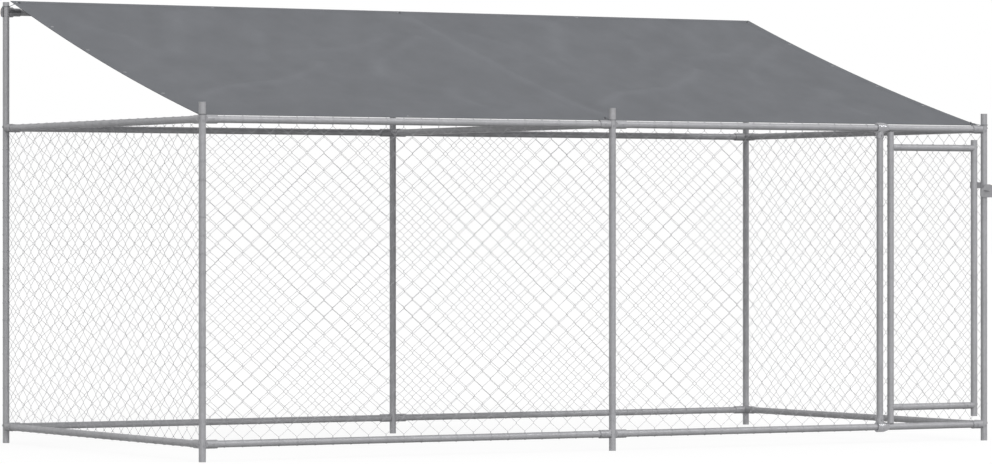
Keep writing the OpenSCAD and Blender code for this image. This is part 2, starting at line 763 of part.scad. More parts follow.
// Keeper on the right front post: a clamp band with ears and a staple
ear_bolt_x = band_r + ear_l / 2;
module at_keeper() {
  at_post(bay_l, y_front) translate([0, 0, latch_z]) children();
}
module latch_keeper() {
  ear_x = band_r + ear_l;
  color("lightgray") at_keeper() difference() {
    union() {
      cylinder(r = band_r, h = band_h, center = true);
      translate([ear_x / 2, 0, 0]) cube([ear_x, ear_slit + 2 * ear_t, band_h], center = true);
      for (s = [-1, 1]) translate([s * staple_w / 2, 0, 0]) rotate([90, 0, 0])
        cylinder(d = staple_d, h = -leaf_y + leaf_t / 2 + staple_leg);
      translate([0, leaf_y - leaf_t / 2 - staple_leg, 0]) rotate([0, 0, 180])
        rotate_extrude(angle = 180) translate([staple_w / 2, 0]) circle(d = staple_d);
    }
    cylinder(r = seat_r, h = band_h + 2 * cut, center = true);
    translate([ear_x / 2, 0, 0]) cube([ear_x + 2 * cut, ear_slit, band_h + 2 * cut], center = true);
    translate([ear_bolt_x, -post_d, 0]) rotate([0, 0, 90]) bar(bolt_d / 2 + fit_gap, 2 * post_d);
  }
}
module keeper_bolt() {
  face = ear_slit / 2 + ear_t + fit_gap;
  color("dimgray") at_keeper() translate([ear_bolt_x, 0, 0]) rotate([0, 0, 90]) {
    translate([-face - bolt_head_h, 0, 0]) bar(bolt_head_d / 2, bolt_head_h);
    translate([-face - bolt_head_h, 0, 0]) bar(bolt_d / 2, 2 * face + 2 * bolt_head_h);
    translate([face, 0, 0]) bar(bolt_head_d / 2, bolt_head_h);
  }
}

// Door
stile_end = rail_r + end_gap + bush_flange_t + fit_gap;
door_levels = [door_low_z, door_top_z];
door_holes = [for (z = door_levels) z + x_bolt_dz];
module stile_hinge() {
  color("silver") on_door(0) upright(low_rail_z + stile_end, top_z - stile_end, door_holes);
}
module stile_latch() {
  color("silver") at_post(latch_x, y_front) upright(
    door_low_z - stile_under, door_top_z + stile_over, door_holes, [], [latch_z + clamp_rise]
  );
}
plug_screw_x = post_r + plug_l + plug_tail / 2;
module door_rail_top() {
  color("gainsboro") on_door(door_top_z) rail(door_w, [], plug_l, plug_screw_x);
}
module door_rail_low() {
  color("gainsboro") on_door(door_low_z) rail(door_w, [], plug_l, plug_screw_x);
}
// Plug in the end of a door rail: along +X from the stile axis, screw side towards -Y
module plug() {
  difference() {
    union() {
      translate([plug_near, 0, 0]) bar(rail_r, post_r + plug_l - plug_near);
      translate([plug_near, 0, 0]) bar(rail_r - tube_wall - fit_gap, post_r + plug_l + plug_tail - plug_near);
    }
    translate([0, 0, -rail_d]) cylinder(r = seat_r, h = 2 * rail_d);
    translate([plug_screw_x, 0, 0]) rotate([90, 0, 0]) cylinder(d = screw_d + 2 * fit_gap, h = rail_d);
    translate([0, 0, x_bolt_dz]) bar(bolt_d / 2 + fit_gap, post_r + cup_web + bolt_tail + fit_gap);
  }
}
module door_plugs() {
  color("darkgray") for (z = door_levels) on_door(z) {
    plug();
    translate([door_w, 0, 0]) mirror([1, 0, 0]) plug();
  }
}
module door_bolts() {
  color("dimgray") for (z = door_holes) {
    on_door(z) bolt();
    at_post(latch_x, y_front) translate([0, 0, z]) to_left() bolt();
  }
}
module door_screws() {
  color("dimgray") {
    for (z = door_levels) on_door(z) screw_pair(door_w, rail_r, plug_screw_x);
    clamp_screw();
  }
}
// Bush in the end of the hinge stile, seen from the rail axis towards +Z
module hinge_bush() {
  translate([0, 0, rail_r + end_gap]) difference() {
    union() {
      cylinder(r = post_r, h = bush_flange_t);
      cylinder(r = post_r - tube_wall - fit_gap, h = bush_flange_t + bush_len);
    }
    translate([0, 0, -cut]) cylinder(r = pin_d / 2 + run_gap, h = bush_flange_t + bush_len + 2 * cut);
  }
}
module hinge_bushes() {
  color("black") {
    on_door(low_rail_z) hinge_bush();
    on_door(top_z) mirror([0, 0, 1]) hinge_bush();
  }
}
module net_door() {
  clamp = [door_w, latch_z + clamp_rise, clamp_r, clamp_h / 2];
  color("lightslategray") on_door(0) net(door_w, door_low_z, door_top_z, [clamp]);
}

// Latch clamp on the latch stile: half a ring on its far side, an arm and the upper knuckle
module at_clamp() {
  at_post(latch_x, y_front) translate([0, 0, latch_z + clamp_rise]) children();
}
module latch_clamp() {
  arm_start = clamp_r - clamp_wall / 2;
  arm_end = norm([latch_pin_off, leaf_y]) - (knuckle_d + latch_pin_d) / 4;
  arm_h = clamp_h - leaf_t;
  color("lightgray") at_clamp() difference() {
    union() {
      difference() {
        cylinder(r = clamp_r, h = clamp_h, center = true);
        rotate([0, 0, -clamp_turn]) translate([-2 * clamp_r, -2 * clamp_r, -clamp_h])
          cube([4 * clamp_r, 2 * clamp_r, 2 * clamp_h]);
      }
      rotate([0, 0, atan2(leaf_y, latch_pin_off)]) translate([arm_start, -leaf_t / 2, -arm_h / 2])
        cube([arm_end - arm_start, leaf_t, arm_h]);
      translate([latch_pin_off, leaf_y, 0]) cylinder(d = knuckle_d, h = clamp_h, center = true);
    }
    cylinder(r = seat_r, h = clamp_h + 2 * cut, center = true);
    translate([latch_pin_off, leaf_y, 0])
      cylinder(d = latch_pin_d + 2 * fit_gap, h = clamp_h + 2 * cut, center = true);
    rotate([-90, 0, 0]) cylinder(d = screw_d + 2 * fit_gap, h = post_d);
  }
}
module clamp_screw() {
  at_clamp() rotate([0, 0, 90]) screw(post_r, clamp_r);
}
module at_latch_pin() {
  at_post(latch_x + latch_pin_off, y_front + leaf_y) translate([0, 0, latch_z]) children();
}
module latch_pin() {
  color("dimgray") at_latch_pin() translate([0, 0, knuckle_low])
    cylinder(d = latch_pin_d, h = clamp_high - knuckle_low);
}

// Latch leaf: the lower knuckle, a neck and a plate with a slot for the staple
module latch_leaf() {
  plate_x = knuckle_d / 2 + 4 * knuckle_gap;
  color("lightgray") at_latch_pin() difference() {
    union() {
      translate([0, 0, knuckle_low]) cylinder(d = knuckle_d, h = knuckle_h);
      translate([0, leaf_t / 2, 0]) rotate([90, 0, 0]) linear_extrude(leaf_t) polygon([
        [0, knuckle_low],
        [plate_x, knuckle_low],
        [plate_x, -leaf_h / 2],
        [leaf_l, -leaf_h / 2],
        [leaf_l, leaf_h / 2 - leaf_chamfer / 2],
        [leaf_l - 2 * leaf_chamfer, leaf_h / 2],
        [plate_x + leaf_chamfer, leaf_h / 2],
        [plate_x, knuckle_high],
        [0, knuckle_high]
      ]);
    }
    translate([0, 0, knuckle_low - cut]) cylinder(r = latch_pin_d / 2 + run_gap, h = knuckle_h + 2 * cut);
    translate([(slot_near + slot_far) / 2, 0, 0])
      cube([slot_far - slot_near, 2 * leaf_t, staple_d + 2 * slot_gap], center = true);
  }
}

post_front_left();
post_front_middle();
post_front_right();
post_back_left();
post_back_middle();
post_back_right();
door_post();
rail_front_top_left();
rail_front_top_right();
rail_front_low_left();
rail_front_low_right();
rail_back_top_left();
rail_back_top_right();
rail_back_low_left();
rail_back_low_right();
rail_left_top();
rail_left_low();
rail_right_top();
rail_right_low();
rail_middle();
rail_high_left();
rail_high_right();
cups_front();
cups_back();
cups_left();
cups_right();
cups_middle();
cups_high();
high_plates();
bolts_front();
bolts_back();
cup_screws();
tee_top();
tee_low();
tee_bolts();
hinge_pins();
net_front_left();
net_front_right();
net_left();
net_right();
net_back_left();
net_back_right();
roof_sheet();
roof_eyelets();
roof_ties();
latch_keeper();
keeper_bolt();
stile_hinge();
stile_latch();
door_rail_top();
door_rail_low();
door_plugs();
door_bolts();
door_screws();
hinge_bushes();
net_door();
latch_clamp();
latch_pin();
latch_leaf();
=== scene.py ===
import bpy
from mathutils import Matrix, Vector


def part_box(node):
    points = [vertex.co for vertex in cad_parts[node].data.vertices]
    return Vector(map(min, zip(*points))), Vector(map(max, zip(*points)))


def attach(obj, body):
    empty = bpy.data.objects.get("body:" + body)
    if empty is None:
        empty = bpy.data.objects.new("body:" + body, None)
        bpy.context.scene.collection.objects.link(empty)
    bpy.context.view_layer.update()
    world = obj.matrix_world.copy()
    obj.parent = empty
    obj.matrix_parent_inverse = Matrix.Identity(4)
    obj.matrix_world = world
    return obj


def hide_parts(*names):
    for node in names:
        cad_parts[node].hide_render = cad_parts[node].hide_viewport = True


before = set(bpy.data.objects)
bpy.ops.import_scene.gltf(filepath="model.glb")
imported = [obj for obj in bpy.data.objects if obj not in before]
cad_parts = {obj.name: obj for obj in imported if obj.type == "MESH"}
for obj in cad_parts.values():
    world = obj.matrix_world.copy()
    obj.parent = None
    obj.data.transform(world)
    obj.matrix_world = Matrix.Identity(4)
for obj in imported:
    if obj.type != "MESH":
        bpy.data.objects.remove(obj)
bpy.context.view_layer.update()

import math

import bpy
from bpy.props import FloatProperty, FloatVectorProperty, IntProperty, PointerProperty
from mathutils import Vector

bl_info = {
    "name": "Dog kennel run",
    "version": (1, 0, 0),
    "blender": (4, 5, 0),
    "location": "3D View > Sidebar > Kennel run",
    "description": "Weaves the nets, stretches the roof sheet and finishes the steel of a dog kennel run",
    "category": "Object",
}

# Lengths are in metres
TUBE_RADIUS = 0.015
SHEET_SOLID = 0.001  # thickness of the roof sheet's solid
EYELET_ROOM = 0.02  # points nearer than this belong to one eyelet
FLOOR_SIZE, FLOOR_GREY, FLOOR_GLOW = 240.0, 0.15, 0.875
LAMP_DISTANCE = 8.0

# Beginnings of the names of the solids that share a finish
TUBES = ("post_", "door_post", "rail_", "stile_", "door_rail_")
CUPS = ("cups_front", "cups_back", "cups_left", "cups_right", "cups_middle", "door_plugs")
HIGH_FITTINGS = ("cups_high", "high_plates")
TEES = ("tee_top", "tee_low")
FASTENERS = (
    "bolts_", "cup_screws", "tee_bolts", "keeper_bolt", "door_bolts", "door_screws", "hinge_pins",
    "latch_pin")
LATCH = ("latch_keeper", "latch_leaf")

# Each net: its node, body, the two uprights and the two rails that hold it
NETS = (
    ("net_front_left", "frame", "post_front_left", "post_front_middle",
     "rail_front_low_left", "rail_front_top_left"),
    ("net_front_right", "frame", "post_front_middle", "door_post",
     "rail_front_low_right", "rail_front_top_right"),
    ("net_left", "frame", "post_front_left", "post_back_left",
     "rail_left_low", "rail_left_top"),
    ("net_right", "frame", "post_front_right", "post_back_right",
     "rail_right_low", "rail_right_top"),
    ("net_back_left", "frame", "post_back_left", "post_back_middle",
     "rail_back_low_left", "rail_back_top_left"),
    ("net_back_right", "frame", "post_back_middle", "post_back_right",
     "rail_back_low_right", "rail_back_top_right"),
    ("net_door", "door", "stile_hinge", "stile_latch",
     "door_rail_low", "door_rail_top"),
)

# Share of a diamond by which the weave of a net starts away from its first upright
NET_SHIFTS = {
    "net_back_left": 0.87,
    "net_back_right": 0.045,
    "net_front_right": 0.32,
    "net_door": 0.5,
}

# Each lamp: its name, the stage's value for its strength, the way to it, its angle in degrees
# and whether it casts shadows
LAMPS = (
    ("key_light", "sun", (-0.15, -0.85, 0.50), 14, True),
    ("glint_light", "glint", (0.50, -0.60, 0.62), 5, True),
    ("fill_light", "fill", (-0.42, -0.80, 0.42), 14, False),
)

# Wrinkles of one roof panel: points as metres from its left edge and from the middle of its slope,
# then the height and the half width of the wrinkle in metres
WRINKLES = (
    (((0.14, -0.66), (0.26, -0.54), (0.38, -0.44), (0.55, -0.375), (0.73, -0.31), (0.97, -0.11),
      (1.09, 0.04)), 0.0062, 0.034),
    (((1.86, 0.51), (1.63, 0.29), (1.39, 0.06), (1.295, -0.16)), 0.0056, 0.040),
    (((1.72, 0.56), (1.50, 0.36), (1.20, 0.25)), 0.0040, 0.036),
    (((0.78, 0.86), (0.70, 0.70), (0.60, 0.49), (0.45, 0.19)), 0.0056, 0.055),
    (((1.04, 0.55), (0.92, 0.25), (0.83, 0.06)), 0.0046, 0.038),
    (((0.16, 0.62), (0.30, 0.40), (0.36, 0.12)), 0.0036, 0.045),
    (((1.60, -0.30), (1.45, -0.55), (1.50, -0.78)), 0.0030, 0.040),
)


class KennelNetSizes(bpy.types.PropertyGroup):
    """Sizes of the chain-link nets"""

    diamond_width: FloatProperty(
        name="Diamond width", description="Width of one diamond of the net",
        default=0.0853, unit="LENGTH")
    diamond_height: FloatProperty(
        name="Diamond height", description="Height of one diamond of the net",
        default=0.0773, unit="LENGTH")
    wire: FloatProperty(
        name="Wire", description="Thickness of the net wire", default=0.0015, unit="LENGTH")
    rail_reach: FloatProperty(
        name="Reach to the rails", description="Distance from a rail axis to the ends of the woven wires",
        default=0.0200, unit="LENGTH")
    cup_reach: FloatProperty(
        name="Cup reach", description="Length along a rail, from the post axis, that a cup takes",
        default=0.0715, unit="LENGTH")
    plug_reach: FloatProperty(
        name="Plug reach", description="Length along a door rail, from the stile axis, that a plug takes",
        default=0.0360, unit="LENGTH")
    tee_reach: FloatProperty(
        name="Tee reach", description="Length along the door post that a tee takes",
        default=0.0540, unit="LENGTH")
    door_tie_height: FloatProperty(
        name="Door tie height", description="Height of the tie wires on the door stiles",
        default=0.757, unit="LENGTH")
    post_tie_height: FloatProperty(
        name="Post tie height", description="Height of the tie wire on the door post",
        default=1.075, unit="LENGTH")


class KennelRoofSizes(bpy.types.PropertyGroup):
    """Sizes of the roof sheet and its ties"""

    thickness: FloatProperty(
        name="Thickness", description="Thickness of the coated cloth",
        default=0.0009, unit="LENGTH")
    sag: FloatProperty(
        name="Sag", description="Sag of the sheet in the middle of its slope",
        default=0.025, unit="LENGTH")
    fold: FloatProperty(
        name="Fold", description="Height of a full fold, by which creases and the seam's ridge are measured",
        default=0.006, unit="LENGTH")
    hem: FloatProperty(
        name="Hem", description="Width of the turned hem", default=0.038, unit="LENGTH")
    columns: IntProperty(
        name="Columns", description="Mesh columns along the run", default=240, min=40)
    rows: IntProperty(name="Rows", description="Mesh rows along the slope", default=120, min=20)
    cord: FloatProperty(
        name="Cord", description="Thickness of the tie cord", default=0.0025, unit="LENGTH")
    strand: FloatProperty(
        name="Strand", description="Thickness of one strand of the twisted loops",
        default=0.0016, unit="LENGTH")
    loop_gap: FloatProperty(
        name="Loop gap", description="Distance from a post or a crest to the middle of a loop's cord",
        default=0.0018, unit="LENGTH")
    ball: FloatProperty(
        name="Ball", description="Diameter of the ball on a tie", default=0.010, unit="LENGTH")
    knot: FloatProperty(
        name="Knot", description="Diameter of the knot under the sheet",
        default=0.005, unit="LENGTH")
    eyelet_half: FloatProperty(
        name="Eyelet half height",
        description="Half the height of an eyelet with the gap to what seats on it",
        default=0.0013, unit="LENGTH")


class KennelColours(bpy.types.PropertyGroup):
    """Colours of the finishes"""

    tube: FloatVectorProperty(
        name="Tube", description="Galvanised tube", subtype="COLOR", default=(0.385, 0.385, 0.400))
    cup: FloatVectorProperty(
        name="Cup", description="Rail cups and door plugs",
        subtype="COLOR", default=(0.370, 0.370, 0.385))
    high_fitting: FloatVectorProperty(
        name="High fitting", description="Dark flanged cups and end plates", subtype="COLOR",
        default=(0.200, 0.200, 0.210))
    tee: FloatVectorProperty(
        name="Tee", description="Bright cast tees of the door post",
        subtype="COLOR", default=(0.370, 0.370, 0.385))
    fastener: FloatVectorProperty(
        name="Fastener", description="Bolts, screws and pins",
        subtype="COLOR", default=(0.330, 0.330, 0.345))
    latch: FloatVectorProperty(
        name="Latch", description="Latch plate and keeper",
        subtype="COLOR", default=(0.330, 0.330, 0.342))
    # Painted shade: the clamp's colour is darker than the latch's, for the shaded link between the stile and
    # the post.
    clamp: FloatVectorProperty(
        name="Clamp", description="Dull clamp of the latch",
        subtype="COLOR", default=(0.240, 0.240, 0.250))
    wire: FloatVectorProperty(
        name="Net wire", description="Galvanised net wire",
        subtype="COLOR", default=(0.420, 0.420, 0.440))
    cloth: FloatVectorProperty(
        name="Roof cloth", description="Grey coated cloth",
        subtype="COLOR", default=(0.167, 0.173, 0.186))
    eyelet: FloatVectorProperty(
        name="Eyelet", description="Plated eyelets", subtype="COLOR", default=(0.330, 0.335, 0.350))
    cord: FloatVectorProperty(
        name="Tie cord", description="Grey elastic cord",
        subtype="COLOR", default=(0.176, 0.180, 0.192))
    bush: FloatVectorProperty(
        name="Bush", description="Grey plastic of the hinge bushes",
        subtype="COLOR", default=(0.330, 0.330, 0.340))


class KennelStage(bpy.types.PropertyGroup):
    """Camera and light"""

    camera_place: FloatVectorProperty(
        name="Camera place", description="Where the camera stands", subtype="TRANSLATION",
        default=(-10.58069, -18.27514, 0.96751))
    camera_tilt: FloatProperty(
        name="Camera tilt", description="Angle of the view from straight down", subtype="ANGLE",
        default=math.radians(89.972))
    camera_turn: FloatProperty(
        name="Camera turn", description="Turn of the view about the vertical", subtype="ANGLE",
        default=math.radians(-30.003))
    lens: FloatProperty(
        name="Lens", description="Focal length on a sensor 36 mm wide",
        default=167.88, unit="CAMERA")
    sun: FloatProperty(name="Sun", description="Strength of the key light", default=0.72)
    glint: FloatProperty(
        name="Glint", description="Strength of the small light for glints", default=0.5)
    fill: FloatProperty(
        name="Fill", description="Strength of the light from the camera's side", default=0.8)
    sky_high: FloatProperty(
        name="Sky overhead", description="Soft light from overhead", default=0.55)
    sky_low: FloatProperty(
        name="Sky at the horizon", description="Soft light from the sides", default=0.73)


def clear_selection():
    if bpy.context.mode != "OBJECT":
        bpy.ops.object.mode_set(mode="OBJECT")
    bpy.ops.object.select_all(action="DESELECT")


def choose(*pieces):
    """Selects these pieces alone, the first one active."""
    clear_selection()
    for piece in pieces:
        piece.select_set(True)
    bpy.context.view_layer.objects.active = pieces[0]


def join(name, *pieces):
    choose(*pieces)
    if len(pieces) > 1:
        bpy.ops.object.join()
    piece = bpy.context.object
    piece.name = name
    piece.data.name = name
    return piece


def middle(node):
    low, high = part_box(node)
    return (low + high) / 2


def bent_wires(name, strands, thickness, closed=False, sides=1):
    """Bends a round wire along each list of points, as one mesh."""
    clear_selection()
    bpy.ops.curve.primitive_bezier_curve_add()
    wires = bpy.context.object
    curve = wires.data
    curve.splines.clear()
    curve.dimensions = "3D"
    for points in strands:
        spline = curve.splines.new("POLY")
        spline.points.add(len(points) - 1)
        spline.points.foreach_set("co", [value for p in points for value in (p[0], p[1], p[2], 1.0)])
        spline.use_cyclic_u = closed
    curve.bevel_depth = thickness / 2
    curve.bevel_resolution = sides
    curve.use_fill_caps = not closed
    bpy.ops.object.convert(target="MESH")
    bpy.ops.object.shade_smooth()
    return join(name, bpy.context.object)


def finish_nodes(starts, material):
    """Gives a finish to the solids whose names begin in one of these ways."""
    found = [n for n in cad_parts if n.startswith(starts)]
    if not found:
        raise RuntimeError(f"no solid has a name that begins with {starts}")
    for name in found:
        wear(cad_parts[name], material)


def wear(piece, material):
    piece.data.materials.clear()
    piece.data.materials.append(material)


class Finish:
    """A material with its shader, and short ways to add nodes to it."""

    def __init__(self, name):
        self.material = bpy.data.materials.new(name)
        self.material.use_nodes = True
        self.tree = self.material.node_tree
        self.shader = self.tree.nodes["Principled BSDF"]
        self.place = self.node("ShaderNodeTexCoord").outputs["Object"]

    def node(self, kind, **values):
        made = self.tree.nodes.new(kind)
        for key, value in values.items():
            setattr(made, key, value)
        return made

    def link(self, out, into):
        self.tree.links.new(out, into)

    def noise(self, scale, detail=3.0, rough=0.5, stretch=None, turn=0.0):
        made = self.node("ShaderNodeTexNoise")
        made.inputs["Scale"].default_value = scale
        made.inputs["Detail"].default_value = detail
        made.inputs["Roughness"].default_value = rough
        place = self.place if stretch is None else self.stretched(stretch, turn)
        self.link(place, made.inputs["Vector"])
        return made.outputs["Fac"]

    def stretched(self, stretch, turn):
        """The object's own coordinates, drawn out along axes that are turned about the vertical."""
        mapping = self.node("ShaderNodeMapping", vector_type="TEXTURE")
        mapping.inputs["Scale"].default_value = stretch
        mapping.inputs["Rotation"].default_value = (0.0, 0.0, turn)
        self.link(self.place, mapping.inputs["Vector"])
        return mapping.outputs["Vector"]

    def cells(self, scale):
        made = self.node("ShaderNodeTexVoronoi")
        made.inputs["Scale"].default_value = scale
        self.link(self.place, made.inputs["Vector"])
        return made.outputs["Color"]

    def yarn(self, period, direction):
        """Bands with one crest in each period."""
        made = self.node("ShaderNodeTexWave", wave_type="BANDS", bands_direction=direction)
        made.inputs["Scale"].default_value = math.pi / 10 / period
        made.inputs["Distortion"].default_value = 0.6
        made.inputs["Detail"].default_value = 1.0
        self.link(self.place, made.inputs["Vector"])
        return made.outputs["Fac"]

    def spread(self, value, low, high, dark=0.3, light=0.7):
        """Maps the middle of a texture's values to a range."""
        made = self.node("ShaderNodeMapRange")
        made.inputs["From Min"].default_value = dark
        made.inputs["From Max"].default_value = light
        made.inputs["To Min"].default_value = low
        made.inputs["To Max"].default_value = high
        self.link(value, made.inputs["Value"])
        return made.outputs["Result"]

    def math(self, kind, a, b):
        made = self.node("ShaderNodeMath", operation=kind)
        self.link(a, made.inputs[0])
        self.link(b, made.inputs[1])
        return made.outputs["Value"]

    def tint(self, colour, shade):
        """Makes the base colour lighter and darker by a shade around one."""
        made = self.node("ShaderNodeVectorMath", operation="SCALE")
        made.inputs[0].default_value = colour[:3]
        self.link(shade, made.inputs["Scale"])
        self.link(made.outputs["Vector"], self.shader.inputs["Base Color"])

    def roughness(self, value):
        self.link(value, self.shader.inputs["Roughness"])

    def bump(self, height, strength, depth):
        made = self.node("ShaderNodeBump")
        made.inputs["Strength"].default_value = strength
        made.inputs["Distance"].default_value = depth
        self.link(height, made.inputs["Height"])
        self.link(made.outputs["Normal"], self.shader.inputs["Normal"])


def zinc(name, colour, spangle=85.0, metal=0.12, rough=(0.34, 0.52), grain=420.0):
    """Hot-dip zinc: crystal spangles, dull patches and a fine grain."""
    f = Finish(name)
    spangles = f.spread(f.cells(spangle), low=0.94, high=1.07, dark=0.0, light=1.0)
    patches = f.spread(f.noise(4.0, detail=4.0, rough=0.6), low=0.93, high=1.06)
    f.tint(colour, f.math("MULTIPLY", spangles, patches))
    f.roughness(f.spread(f.noise(26.0), *rough))
    f.bump(f.noise(grain, detail=2.0), strength=0.10, depth=0.0003)
    f.shader.inputs["Metallic"].default_value = metal
    f.shader.inputs["Specular IOR Level"].default_value = 0.35
    return f.material


class KENNEL_OT_tubes(bpy.types.Operator):
    """Gives the posts, rails and door tubes their galvanised finish"""

    bl_idname = "kennel.tubes"
    bl_label = "Finish the tubes"

    def execute(self, context):
        finish_nodes(TUBES, zinc("galvanised_tube", context.scene.kennel_colours.tube))
        return {"FINISHED"}


class KENNEL_OT_fittings(bpy.types.Operator):
    """Gives the cups, plugs, tees, fasteners and latch their zinc-coated finish"""

    bl_idname = "kennel.fittings"
    bl_label = "Finish the fittings"

    def execute(self, context):
        colours = context.scene.kennel_colours
        finish_nodes(CUPS, zinc("coated_cup", colours.cup))
        finish_nodes(HIGH_FITTINGS, zinc(
            "dark_cast_fitting", colours.high_fitting, spangle=160.0, metal=0.35, rough=(0.26, 0.34),
            grain=300.0))
        finish_nodes(TEES, zinc(
            "bright_cast_tee", colours.tee, spangle=160.0, metal=0.60, rough=(0.24, 0.30), grain=300.0))
        finish_nodes(FASTENERS, zinc(
            "plated_fastener", colours.fastener, spangle=420.0, metal=0.35, rough=(0.28, 0.42),
            grain=900.0))
        finish_nodes(LATCH, zinc(
            "pressed_latch", colours.latch, spangle=130.0, metal=0.15, rough=(0.34, 0.50), grain=520.0))
        # Painted shade: the clamp gets a darker colour for the shade that falls on it.
        finish_nodes(("latch_clamp",), zinc(
            "dull_clamp", colours.clamp, spangle=130.0, rough=(0.36, 0.52), grain=520.0))
        f = Finish("hinge_bush")
        f.tint(colours.bush, f.spread(f.noise(60.0), low=0.85, high=1.2))
        f.roughness(f.spread(f.noise(140.0), low=0.42, high=0.58))
        f.bump(f.noise(700.0), strength=0.12, depth=0.0002)
        finish_nodes(("hinge_bushes",), f.material)
        return {"FINISHED"}


class KENNEL_OT_nets(bpy.types.Operator):
    """Weaves the seven chain-link nets and loops their edges round the tubes"""

    bl_idname = "kennel.nets"
    bl_label = "Weave the nets"

    def execute(self, context):
        sizes = context.scene.kennel_nets
        material = zinc(
            "net_wire", context.scene.kennel_colours.wire, spangle=500.0, metal=0.15, rough=(0.34, 0.50),
            grain=1400.0)
        for order, (node, body, left, right, low, top) in enumerate(NETS):
            a, b = middle(left), middle(right)
            net = Net(sizes, a, b, middle(low).z, middle(top).z, NET_SHIFTS.get(node, 0.0))
            net.loop_shift = Net.LOOP_STEP * (order % 3 - 1)
            net.door_post = right == "door_post"
            net.door = node == "net_door"
            clamps = {"net_right": (0.0, "latch_keeper"), "net_door": (net.length, "latch_clamp")}
            net.clamp = clamps.get(node)
            piece = net.woven(node + "_woven")
            wear(piece, material)
            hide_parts(node)
            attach(piece, body)
        return {"FINISHED"}


class Net:
    """One net between two uprights and two rails.

    Its upright zigzag wires hook into their neighbours, and loops hold its edges to the tubes. A place
    on the net is u along it from the first upright, d out of its plane and the height z.
    """

    EDGE_GAP = 0.0006  # from an upright to the outer wires
    NARROWEST = 0.3  # width of the narrowest outer wire, in half diamonds
    HOOK_OUT, HOOK_DEEP = 1.15, 1.05  # how far a hook goes sideways and out of the plane, in wire radii
    HOOK_RISE = 0.085  # height of half a hook, as a share of a run's rise
    HOOK_LEAN = 0.45  # how far a hook's ends lean along the run, as a share of the run's own lean
    LOOP_GAP = 0.0004  # from a tube to the loops round it
    LOOP_STEP = 0.0026  # between the heights of the loops of two nets on one upright
    LOOP_LEAN = 0.0012  # how far each end of a loop stands from its middle
    LOOP_TAIL = 0.004  # how far a rail loop reaches into the net
    LOOP_START, LOOP_TURN = -62, 304  # first angle and whole turn of a rail loop, in degrees
    LOOP_STEPS = 11  # steps of a rail loop
    RING_STEP, RING_STEPS = 30, 12  # degrees of one step of a ring round an upright, and its steps
    RAIL_CLEAR = 0.026  # from a rail's axis to the nearest loop on an upright
    CLAMP_CLEAR = 0.004  # from a clamp to the nearest loop on an upright
    TIE_RISE = 0.0034  # height of the two turns of a tie wire
    TIE_BEND, TIE_END = (0.004, 0.0006, 0.0016), (-0.0010, 0.0004)  # bend and end of its tail
    POST_TAIL, DOOR_TAIL = 0.010, 0.005  # lengths of the tails

    def __init__(self, sizes, a, b, low, top, shift):
        self.sizes, self.low, self.top = sizes, low, top
        self.start = Vector((a.x, a.y, 0.0))
        self.along = Vector((b.x - a.x, b.y - a.y, 0.0))
        self.length = self.along.length
        self.along.normalize()
        self.across = Vector((self.along.y, -self.along.x, 0.0))
        self.radius = sizes.wire / 2
        self.edge = TUBE_RADIUS + self.radius + self.EDGE_GAP
        self.loop_radius = TUBE_RADIUS + self.radius + self.LOOP_GAP
        width = self.length - 2 * self.edge
        self.pitch = width / max(1, round(width / sizes.diamond_width))
        self.columns = self.spaced_columns(shift)
        self.z0 = low + sizes.rail_reach
        height = top - low - 2 * sizes.rail_reach
        self.runs = 2 * max(1, round(height / sizes.diamond_height))
        self.rise = height / self.runs

    def spaced_columns(self, shift):
        """Left edge, width and kind of each zigzag wire. The outer ones reach to the uprights."""
        half = self.pitch / 2
        least = self.NARROWEST * half
        last = self.length - self.edge
        marks = [(self.edge + shift * self.pitch + k * half, k) for k in range(-2, int(last / half) + 2)]
        marks = [(u, k) for u, k in marks if self.edge + least < u < last - least]
        columns = [(self.edge, marks[0][0] - self.edge, marks[0][1] % 2 == 1)]
        for (u, k), (v, _) in zip(marks, marks[1:] + [(last, None)]):
            columns.append((u, v - u, k % 2 == 0))
        return columns

    def at(self, u, d, z):
        return self.start + self.along * u + self.across * d + Vector((0.0, 0.0, z))

    def wire(self, left, half, first):
        """One zigzag wire. The first kind begins at its left, the other at its right."""
        hook = self.HOOK_OUT * self.radius
        depth = self.HOOK_DEEP * self.radius
        turn = self.HOOK_RISE * self.rise
        shift = self.HOOK_LEAN * half * turn / self.rise
        points = []
        for k in range(self.runs + 1):
            at_left = (k % 2 == 0) == first
            peak = left - hook if at_left else left + half + hook
            inward = shift if at_left else -shift
            # runs that rise to the right lie in front, runs that rise to the left lie behind
            before = -depth if at_left else depth
            after = depth if at_left else -depth
            z = self.z0 + k * self.rise
            if k > 0:
                points.append(self.at(peak + inward, before, z - turn))
            points.append(self.at(peak, 0.0, z))
            if k < self.runs:
                points.append(self.at(peak + inward, after, z + turn))
        return points

    def rail_loop(self, u, rail, up):
        """A loop of wire end round a rail, drawn to the edge of the net."""
        r = self.loop_radius
        foot = rail - up * (self.sizes.rail_reach + self.LOOP_TAIL)
        points = [self.at(u - self.LOOP_LEAN, 0.0, foot)]
        for i in range(self.LOOP_STEPS + 1):
            angle = math.radians(self.LOOP_START + self.LOOP_TURN * i / self.LOOP_STEPS)
            aside = u - self.LOOP_LEAN + 2 * self.LOOP_LEAN * i / self.LOOP_STEPS
            points.append(self.at(aside, r * math.cos(angle), rail + up * r * math.sin(angle)))
        points.append(self.at(u + self.LOOP_LEAN, 0.0, foot))
        return points

    def post_loop(self, u, z):
        """A closed loop of wire round an upright."""
        r = self.loop_radius
        angles = [math.radians(self.RING_STEP * i) for i in range(self.RING_STEPS)]
        return [self.at(u + r * math.cos(angle), r * math.sin(angle), z + self.LOOP_LEAN * math.sin(angle))
                for angle in angles]

